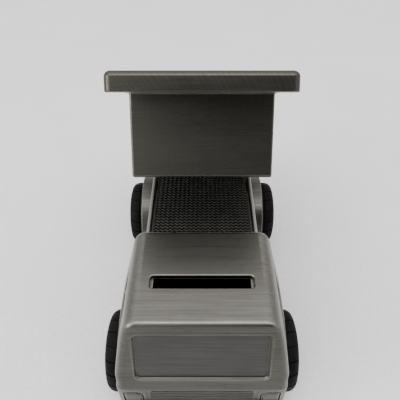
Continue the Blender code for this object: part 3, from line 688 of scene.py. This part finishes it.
# ---------------------------------------------------------------- chassis
box = block("chassis_box", (-22.5, 22.5), (-16.4, 93.0), (7.4, 33.0))
boolean(box, block("c1", (-20.3, 20.3), (-14.2, 82.0), (2.0, 30.8)))
boolean(box, block("c2", (-20.3, 20.3), (-14.2, 21.3), (26.0, 40.0)))
boolean(box, block("c3", (-30, 30), (-22, -12.4), (30.5, 40.0)))
boolean(box, block("c4", (-30, 30), (84.5, 99.0), (30.6, 40.0)))
for sgn in (-1, 1):
    boolean(box, block("c5", tuple(sorted((sgn * 15.4, sgn * 20.3))), (84.5, 99.0), (26.4, 40.0)))
boolean(box, block("c6", (-20.3, 20.3), (92.9, 99.0), (26.4, 40.0)))
bake(box)
bevel(box, 0.35, 2)
bake(box)
boolean(box, rod("round", [(3.4, -15.4), (3.4, 15.4)], (0, HINGE_S, HINGE_Z), "x", 64), 'UNION')
boolean(box, rod("bore", [(1.55, -30), (1.55, 30)], (0, HINGE_S, HINGE_Z), "x", 48))
for s in (0.0, 75.0):
    boolean(box, rod("axle_bore", [(1.33, -30), (1.33, 30)], (0, s, AXLE_Z), "x", 48))
for sgn in (-1, 1):
    boolean(box, rod("head_relief", [(2.8, sgn * 19.9), (2.8, sgn * 21.4)], (0, HINGE_S, HINGE_Z), "x", 48))
    boolean(box, block("relief_top", tuple(sorted((sgn * 19.9, sgn * 21.4))), (HINGE_S - 2.8, HINGE_S + 2.8), (HINGE_Z - 0.1, HINGE_Z + 6)))
bake(box)


def arch_outline(centre, r_in, r_out, a0, a1, steps):
    pts = []
    for r, order in ((r_out, range(steps + 1)), (r_in, range(steps, -1, -1))):
        for k in order:
            a = math.radians(a0 + (a1 - a0) * k / steps)
            pts.append((centre + r * math.cos(a), AXLE_Z + r * math.sin(a)))
    return pts


extras, rails = [box], []
for sgn in (-1, 1):
    rail = block("rail", tuple(sorted((sgn * 22.4, sgn * 23.9))), (25.0, 83.8), (30.0, 34.6))
    rails.append(bake(bevel(rail, 0.34, 4)))
    fender = prism("fender", arch_outline(75.0, 17.4, 19.0, 14, 166, 56), "side", *sorted((sgn * 21.7, sgn * 28.6)))
    extras.append(bake(bevel(fender, 0.55, 4, 40)))
    liner = prism("liner", arch_outline(0, 17.3, 18.9, 38, 142, 40), "side", *sorted((sgn * 21.7, sgn * 26.4)))
    extras.append(bake(bevel(liner, 0.4, 2, 40)))
    ear = block("ear", tuple(sorted((sgn * 21.7, sgn * 28.9))), (17.9, 22.6), (7.4, 9.3))
    bake(bevel(ear, 0.35, 3))
    boolean(ear, rod("ear_hole", [(1.3, 0), (1.3, 14)], (sgn * 26.2, 20.2, 0), "z", 32))
    extras.append(bake(ear))
    for s in (-11.4, 79.6):
        extras.append(rod("boss", [(2.6, 7.6), (2.6, 20.0), (1.0, 20.0), (1.0, 7.6), (2.6, 7.6)], (sgn * 18.6, s, 0), "z", 32))
piece(merged("chassis", extras), "chassis_body", M_CHASSIS, "chassis", nodes=["chassis_frame"])
piece(merged("rails", rails), "deck_rails", M_RAIL, "chassis")

# ---------------------------------------------------------------- deck pad: wavy ribs moulded across it
PITCH, WAVE, AMP = 1.76, 2.04, 0.37
section = ((0.0, 0.0), (0.26, 0.02), (0.37, 0.40), (0.44, 0.66), (0.50, 0.71), (0.56, 0.66), (0.63, 0.40), (0.74, 0.02))
rows_n = 32
s_first = 25.2 + (57.3 - rows_n * PITCH) / 2
cols = 246
bm = bmesh.new()
levels = []


def pad_row(base, height, amp):
    row = []
    for c in range(cols + 1):
        x = -20.85 + 41.7 * c / cols
        s = base + amp * math.sin(2 * math.pi * x / WAVE)
        s = min(82.25, max(25.45, s))
        row.append(bm.verts.new((x, s, 34.32 + height)))
    return row


levels.append(pad_row(25.45, 0.0, 0.0))
for k in range(rows_n):
    for f, h in section:
        amp = AMP
        levels.append(pad_row(s_first + (k + f) * PITCH, h, amp))
levels.append(pad_row(82.25, 0.0, 0.0))
for a, b in zip(levels, levels[1:]):
    for c in range(cols):
        bm.faces.new((a[c], a[c + 1], b[c + 1], b[c]))
# skirt down to the deck
edge_loop = levels[0] + [r[-1] for r in levels[1:]] + list(reversed(levels[-1]))[1:] + [r[0] for r in reversed(levels[1:-1])]
low = []
for v in edge_loop:
    x = max(-21.1, min(21.1, v.co.x * 21.1 / 20.85))
    s = 25.2 if v.co.y < 25.46 else 82.5 if v.co.y > 82.24 else v.co.y
    low.append(bm.verts.new((x, s, 34.1)))
base_ = [bm.verts.new((v.co.x, v.co.y, 33.3)) for v in low]
n = len(edge_loop)
for i in range(n):
    j = (i + 1) % n
    bm.faces.new((edge_loop[i], edge_loop[j], low[j], low[i]))
    bm.faces.new((low[i], low[j], base_[j], base_[i]))
bm.faces.new(base_)
bmesh.ops.remove_doubles(bm, verts=bm.verts, dist=1e-4)
piece(new_object("pad", bm), "deck_pad_ribbed", M_PAD, "chassis", nodes=["deck_pad"], sharp=50, weighted=False)

# ---------------------------------------------------------------- dump bed, in its hinge's frame
r0, r1, r2 = 4.0, 33.0, 39.5
tub = prism("tub", rounded([(-64.2, r0, 1.1), (-20.0, r0, 0), (12.0, 13.0, 0.8), (10.5, 26.0, 0.8), (4.0, 35.9, 0), (-64.2, 35.9, 0)], 5),
            "side", -25.6, 25.6)
bevel(tub, 1.0, 4, 40)
bake(tub)
for v in tub.data.vertices:
    v.co.x *= 1.0 + 0.0157 * (v.co.z - 20.0) / 31.5
top_edge = [(r2 - 1.9 + 1.9 * math.sin(math.radians(a)), -1.9 + 1.9 * math.cos(math.radians(a))) for a in range(0, 91, 10)]
rim = dish("rim", [(-30.2, -85.2, 2.3), (30.2, -85.2, 2.3), (30.2, 5.0, 2.1), (-30.2, 5.0, 2.1)],
           [(r1, -0.42), (r1 + 0.05, -0.2), (r1 + 0.2, -0.05), (r1 + 0.42, 0.0)] + top_edge, "plan", None, 7)
# behind its turned-down front lip the rim is thinner
boolean(rim, prism("lip_relief", rounded([(-82.4, 30.0, 0), (10.0, 30.0, 0), (10.0, 35.2, 0), (-81.4, 35.2, 0.5)], 4), "side", -40, 40))
bake(rim)
# the canopy's underside runs into the front wall with a fillet
fil = [(-64.0, 35.6), (-66.2, 35.6), (-66.2, 35.18)]
for k in range(9):
    a = math.radians(90.0 * k / 8)
    fil.append((-66.0 + 1.78 * math.sin(a), 33.4 + 1.78 * math.cos(a)))
fil.append((-64.0, 33.2))
fillet = prism("fillet", fil, "side", -25.1, 25.1)
boolean(tub, rim, 'UNION')
boolean(tub, fillet, 'UNION')
bake(tub)
# inside of the tub
hollow = prism("hollow", [(-61.8, 6.4), (-20.0, 6.4), (18.0, 17.0875), (18.0, 50.0), (-61.8, 50.0)], "side", -23.0, 23.0)
boolean(tub, hollow)
boolean(tub, dish("lip", [(-23.0, -61.8, 0.3), (23.0, -61.8, 0.3), (23.0, 18.0, 0.3), (-23.0, 18.0, 0.3)],
                  [(38.3, -0.4), (38.75, 0.0), (39.1, 0.12), (39.35, 0.34), (39.5, 0.68), (40.2, 1.8)], "plan", None, 2))
boolean(tub, dish("pocket", [(-27.6, -80.2, 1.2), (27.6, -80.2, 1.2), (27.6, -67.0, 1.2), (-27.6, -67.0, 1.2)],
                  [(37.2, -0.5), (37.0, -0.15), (36.7, 0.0), (35.6, 0.0), (35.32, 0.1), (35.2, 0.35), (34.7, 0.9)], "plan", None, 5))
bake(tub)
bed_parts = [tub]
slope = 9.0 / 32.0
for sgn in (-1, 1):
    for q in (-48.0, -31.0, -14.0):
        low_r = r0 + 1.6 + max(0.0, (q + 1.6 + 20.0) * slope)
        rib = block("rib", tuple(sorted((sgn * 24.4, sgn * 27.3))), (q - 1.6, q + 1.6), (low_r, r1 + 2.9))
        bake(bevel(rib, 0.6, 4))
        bed_parts.append(rib)
    top_a, top_b = (r0 + 1.2 + (q + 20.0) * slope for q in (-8.5, 5.0))
    lug_pts = [(-8.5, top_a), (-4.4, 2.6), (-3.65, -0.6), (-2.6, -2.6)]
    for k in range(1, 8):
        a = math.radians(225 + 135 * k / 8)
        lug_pts.append((3.7 * math.cos(a), 3.7 * math.sin(a)))
    lug_pts += [(3.7, 0.0), (5.0, top_b)]
    lug = prism("lug", lug_pts, "side", *sorted((sgn * 16.6, sgn * 20.0)))
    bake(bevel(lug, 0.3, 2, 40))
    boolean(lug, rod("lug_bore", [(1.56, sgn * 15.0), (1.56, sgn * 22.0)], (0, 0, 0), "x", 48))
    bed_parts.append(bake(lug))
piece(merged("bed", bed_parts), "bed_tub", M_BED, "bed", place=BED, nodes=["dump_bed"])

# ---------------------------------------------------------------- pin and washers
pin = rod("pin", [(0, -20.9), (2.1, -20.9), (2.4, -20.65), (2.4, -20.35), (2.3, -20.25), (1.5, -20.25), (1.5, 20.25), (2.3, 20.25),
                  (2.4, 20.35), (2.4, 20.65), (2.1, 20.9), (0, 20.9)], (0, HINGE_S, HINGE_Z), "x", 48)
piece(pin, "hinge_pin_turned", M_STEEL, "chassis", nodes=["hinge_pin"])
for sgn, tag in ((-1, "left"), (1, "right")):
    w = rod("w", [(3.3, -0.3), (3.2, -0.4), (1.66, -0.4), (1.56, -0.3), (1.56, 0.3), (1.66, 0.4), (3.2, 0.4), (3.3, 0.3), (3.3, -0.3)],
            (sgn * 16.0, HINGE_S, HINGE_Z), "x", 48)
    piece(w, "friction_washer_" + tag, M_WASHER, "chassis", nodes=["hinge_washer_" + tag])

# ---------------------------------------------------------------- wheels
tyre_half = [(15.02, 0.34), (15.1, 0.55), (15.1, 1.7), (15.03, 2.4), (14.82, 3.1), (14.45, 3.75), (13.95, 4.3), (13.35, 4.7),
             (12.85, 4.84), (12.75, 4.74), (12.55, 4.74), (12.45, 4.98), (11.8, 5.16), (11.0, 5.18), (10.3, 5.02), (9.85, 4.75), (9.5, 4.3)]
tyre_section = [(r, -w) for r, w in reversed(tyre_half)] + [(14.55, -0.22), (14.55, 0.22)] + tyre_half
BLOCK = ((-1.5, 0.0), (-0.95, 0.95), (0.0, 1.0), (0.95, 0.95), (1.5, 0.0), (5.5, 0.0), (10.0, 0.0), (14.5, 0.0))


def tyre(name, x, s, sgn, phase):
    bm = bmesh.new()
    cols_ = []
    for k in range(18):
        for off, deep in BLOCK:
            col = []
            for r, w in tyre_section:
                # grooves run across the tread and over the shoulders, a little on the slant
                reach = max(0.0, min(1.0, (r - 12.95) / 0.9))
                rr = r - 0.62 * deep * reach * (1.0 if abs(w) > 0.3 else 0.0)
                a = math.radians(90 + phase + 20.0 * k + off + 0.9 * abs(w))
                ww = w * (1.0 - 0.035 * deep * reach * (1.0 if abs(w) > 3.0 else 0.0))
                col.append(bm.verts.new((x + sgn * ww, s - rr * math.cos(a), AXLE_Z + rr * math.sin(a))))
            cols_.append(col)
    n_ = len(cols_)
    m_ = len(tyre_section)
    for i in range(n_):
        a, b = cols_[i], cols_[(i + 1) % n_]
        for j in range(m_):
            jj = (j + 1) % m_
            bm.faces.new((a[j], a[jj], b[jj], b[j]))
    return new_object(name, bm)


hub_profile = [(0, 4.6), (1.5, 4.58), (2.2, 4.45), (2.75, 4.1), (3.0, 3.6), (3.2, 2.1), (3.5, 1.75), (6.5, 1.42), (6.9, 1.6), (7.3, 2.3),
               (7.8, 3.6), (8.1, 4.0), (8.5, 4.18), (9.0, 4.16), (9.3, 4.0), (9.4, 3.7), (9.4, -4.1), (9.3, -4.2), (3.1, -4.9), (1.4, -4.9),
               (1.3, -4.8), (1.3, 2.1), (0, 2.1)]
for end, s, phase in (("front", 0.0, -13.0), ("rear", 75.0, -15.25)):
    body = end + "_wheels"
    for tag, sgn in (("left", -1), ("right", 1)):
        x = sgn * 29.8
        piece(tyre("t", x, s, sgn, -phase), "tyre_tread_%s_%s" % (end, tag), M_TYRE, body, nodes=["tyre_%s_%s" % (end, tag)],
              sharp=40, weighted=False)
        hub = rod("h", [(r, sgn * h) for r, h in hub_profile], (x, s, AXLE_Z), "x", 96)
        # spoke windows stamped in the disc and small wheel nuts
        for k in range(6):
            a = math.radians(60 * k + 30)
            cut_ = rod("hole", [(0.85, sgn * 0.9), (0.85, sgn * 1.35), (0.95, sgn * 1.6), (1.3, sgn * 2.3)],
                       (x, s + 5.2 * math.cos(a), AXLE_Z + 5.2 * math.sin(a)), "x", 24)
            boolean(hub, cut_)
        bake(hub)
        nuts = [hub]
        for k in range(6):
            a = math.radians(60 * k)
            nut = rod("nut", [(0.62, sgn * 1.2), (0.62, sgn * 2.15), (0.46, sgn * 2.35), (0, sgn * 2.38)],
                      (x, s + 4.9 * math.cos(a), AXLE_Z + 4.9 * math.sin(a)), "x", 6)
            nuts.append(nut)
        piece(merged("hub", nuts), "hub_disc_%s_%s" % (end, tag), M_HUB, body, nodes=["wheel_hub_%s_%s" % (end, tag)])
        sp = rod("sp", [(3.0, -0.6), (2.85, -0.75), (1.45, -0.75), (1.33, -0.65), (1.33, 0.65), (1.45, 0.75), (2.85, 0.75), (3.0, 0.6),
                        (3.0, -0.6)], (sgn * 23.65, s, AXLE_Z), "x", 48)
        piece(sp, "spacer_ring_%s_%s" % (end, tag), M_STEEL, body, nodes=["wheel_spacer_%s_%s" % (end, tag)])
    ax = rod("ax", [(0, -31.6), (0.95, -31.6), (1.15, -31.5), (1.25, -31.3), (1.25, 31.3), (1.15, 31.5), (0.95, 31.6), (0, 31.6)],
             (0, s, AXLE_Z), "x", 48)
    piece(ax, "axle_rod_" + end, M_STEEL, body, nodes=[end + "_axle"])

# ---------------------------------------------------------------- underside
cover = prism("cover", rounded([(-22.5, -16.4, 2.5), (22.5, -16.4, 2.5), (22.5, 84.3, 2.5), (-22.5, 84.3, 2.5)], 6), "plan", 5.5, 7.1)
bake(bevel(cover, 0.35, 3, 40))
boolean(cover, rod("stop_hole", [(15.3, 4.0), (15.3, 9.0)], (0, 37.5, 0), "z", 96))
for x in (-18.6, 18.6):
    for s in (-11.4, 79.6):
        boolean(cover, rod("sh", [(1.3, 4.0), (1.3, 9.0)], (x, s, 0), "z", 32))
bake(cover)
# a pressed stiffening bead along each side
beads = [cover]
for x in (-19.9, 19.9):
    bead = dish("bead", [(x - 0.9, 8.0, 0.8), (x + 0.9, 8.0, 0.8), (x + 0.9, 68.0, 0.8), (x - 0.9, 68.0, 0.8)],
                [(5.7, 0.3), (5.5, 0.3), (5.3, 0.12), (5.2, -0.2), (5.18, -0.5)], "plan", None, 5)
    beads.append(bead)
piece(merged("cover", beads), "base_plate", M_COVER, "chassis", nodes=["base_cover"])

stop = rod("stop", [(0, 8.9), (13.4, 8.9), (14.2, 8.7), (14.6, 8.2), (15.0, 7.4), (15.0, 5.35), (15.2, 5.2), (16.9, 5.2), (17.15, 5.05),
                    (17.2, 4.7), (17.1, 4.2), (16.4, 3.72), (12.3, 3.7), (12.18, 4.0), (11.92, 4.0), (11.8, 3.7), (8.9, 3.7),
                    (8.78, 4.0), (8.52, 4.0), (8.4, 3.7), (6.6, 3.7), (6.1, 3.78), (5.8, 4.1), (5.6, 4.45), (5.3, 4.5), (0, 4.5)],
           (0, 37.5, 0), "z", 96)
# finger notches in the flange
for k in range(2):
    boolean(stop, rod("notch", [(1.1, 3.0), (1.1, 4.35)], (0, 37.5 + (17.4 if k else -17.4), 0), "z", 32))
piece(stop, "stopper_plug", M_STOP, "stopper", nodes=["coin_stopper"])

screw_prof = [(0, 8.0), (0.4, 7.95), (0.8, 7.7), (0.9, 7.4), (0.9, 0.35), (1.0, 0.3), (2.15, 0.3), (2.2, 0.2), (2.2, -0.35), (2.1, -0.6),
              (1.7, -0.85), (1.1, -0.98), (0, -1.0)]
for x, s, z, name, nice in [(sx * 18.6, s, 5.0, "base_screw_%s_%s" % (end, side), "base_screw_head_%s_%s" % (end, side))
                            for s, end in ((-11.4, "front"), (79.6, "rear")) for sx, side in ((-1, "left"), (1, "right"))] + \
                           [(sx * 26.2, 20.2, 6.8, "cab_screw_" + side, "cab_screw_head_" + side) for sx, side in ((-1, "left"), (1, "right"))]:
    sc = rod("sc", screw_prof, (x, s, z), "z", 48)
    boolean(sc, block("cross_a", (x - 1.15, x + 1.15), (s - 0.22, s + 0.22), (z - 1.6, z - 0.45)))
    boolean(sc, block("cross_b", (x - 0.22, x + 0.22), (s - 1.15, s + 1.15), (z - 1.6, z - 0.45)))
    piece(sc, nice, M_SCREW, "chassis", nodes=[name])

# the cutting tools have done their work
for ob in list(tools.objects):
    bpy.data.objects.remove(ob, do_unlink=True)

# ---------------------------------------------------------------- floor, light and camera
fm = bpy.data.materials.new("pale_floor")
fm.use_nodes = True
nt = fm.node_tree
b = nt.nodes["Principled BSDF"]
tc, mm = mm_coords(nt)
grit = streaks(nt, mm, (0.55, 0.55, 0.55), 4.0, 0.7)
blot = streaks(nt, mm, (0.02, 0.02, 0.02), 2.0)
v = math_node(nt, 'ADD', math_node(nt, 'MULTIPLY', grit, 0.75), math_node(nt, 'MULTIPLY', blot, 0.25))
nt.links.new(mix_colour(nt, remap(nt, v, 0.32, 0.68, 0.0, 1.0), (0.82, 0.825, 0.82), (0.95, 0.955, 0.95)), b.inputs["Base Color"])
b.inputs["Roughness"].default_value = 0.6
crinkle = streaks(nt, mm, (0.42, 0.42, 0.42), 5.0, 0.62)
fb = nt.nodes.new("ShaderNodeBump")
fb.inputs["Strength"].default_value = 0.6
fb.inputs["Distance"].default_value = 0.0004
nt.links.new(crinkle, fb.inputs["Height"])
nt.links.new(fb.outputs["Normal"], b.inputs["Normal"])
geo = nt.nodes.new("ShaderNodeNewGeometry")
clear = nt.nodes.new("ShaderNodeBsdfTransparent")
pick = nt.nodes.new("ShaderNodeMixShader")
nt.links.new(geo.outputs["Backfacing"], pick.inputs[0])
nt.links.new(b.outputs[0], pick.inputs[1])
nt.links.new(clear.outputs[0], pick.inputs[2])
nt.links.new(pick.outputs[0], nt.nodes["Material Output"].inputs["Surface"])
bm = bmesh.new()
R = 6.0
vs = [bm.verts.new((R * math.cos(2 * math.pi * k / 64), R * math.sin(2 * math.pi * k / 64), 0.0)) for k in range(64)]
bm.faces.new(vs)
floor_me = bpy.data.meshes.new("floor")
bm.to_mesh(floor_me)
bm.free()
floor = bpy.data.objects.new("floor", floor_me)
floor.data.materials.append(fm)
bpy.context.scene.collection.objects.link(floor)

world = bpy.data.worlds.new("studio")
bpy.context.scene.world = world
world.use_nodes = True
wt = world.node_tree
bg = wt.nodes["Background"]
wtc = wt.nodes.new("ShaderNodeTexCoord")


def patch(direction, inner, outer):
    """1 inside a cone of directions, falling to 0 at its outer angle (degrees)."""
    d = wt.nodes.new("ShaderNodeVectorMath")
    d.operation = 'DOT_PRODUCT'
    wt.links.new(wtc.outputs["Generated"], d.inputs[0])
    d.inputs[1].default_value = Vector(direction).normalized()
    n_ = wt.nodes.new("ShaderNodeMapRange")
    n_.interpolation_type = 'SMOOTHSTEP'
    n_.inputs["From Min"].default_value = math.cos(math.radians(outer))
    n_.inputs["From Max"].default_value = math.cos(math.radians(inner))
    wt.links.new(d.outputs["Value"], n_.inputs["Value"])
    return n_.outputs["Result"]


# bright overhead and behind, darker round the camera's side of the room
sky = mix_colour(wt, patch((0.0, -0.22, 1.0), 14, 80), (0.84, 0.84, 0.85), (1.95, 1.94, 1.95))
sky = mix_colour(wt, patch((0.20, -1.0, 0.58), 17, 38), sky, (0.03, 0.03, 0.03))
sky = mix_colour(wt, patch((-1.0, -0.70, 0.66), 6, 36), sky, (2.9, 2.9, 2.9))
wt.links.new(sky, bg.inputs["Color"])
bg.inputs["Strength"].default_value = 1.0


def area(name, loc, target, size, power):
    la = bpy.data.lights.new(name, 'AREA')
    la.shape = 'RECTANGLE'
    la.size, la.size_y = size
    la.energy = power
    ob = bpy.data.objects.new(name, la)
    ob.location = loc
    ob.rotation_euler = (Vector(target) - Vector(loc)).to_track_quat('-Z', 'Y').to_euler()
    bpy.context.scene.collection.objects.link(ob)
    return ob


area("overhead", (0.0, -0.32, 0.95), (0, 0, 0.03), (0.9, 0.22), 3.6)
area("glint", (-0.70, -0.30, 0.42), (0, 0, 0.08), (0.07, 0.07), 1.3)

cam_data = bpy.data.cameras.new("camera")
cam = bpy.data.objects.new("camera", cam_data)
bpy.context.scene.collection.objects.link(cam)
cam.location = (0.0, -0.12795, 0.1715)
cam.rotation_euler = (math.radians(46.6), 0, 0)
cam_data.lens = 38.7
cam_data.sensor_width = 36.0
cam_data.shift_x = -0.005
cam_data.clip_start = 0.005
cam_data.clip_end = 50
bpy.context.scene.camera = cam
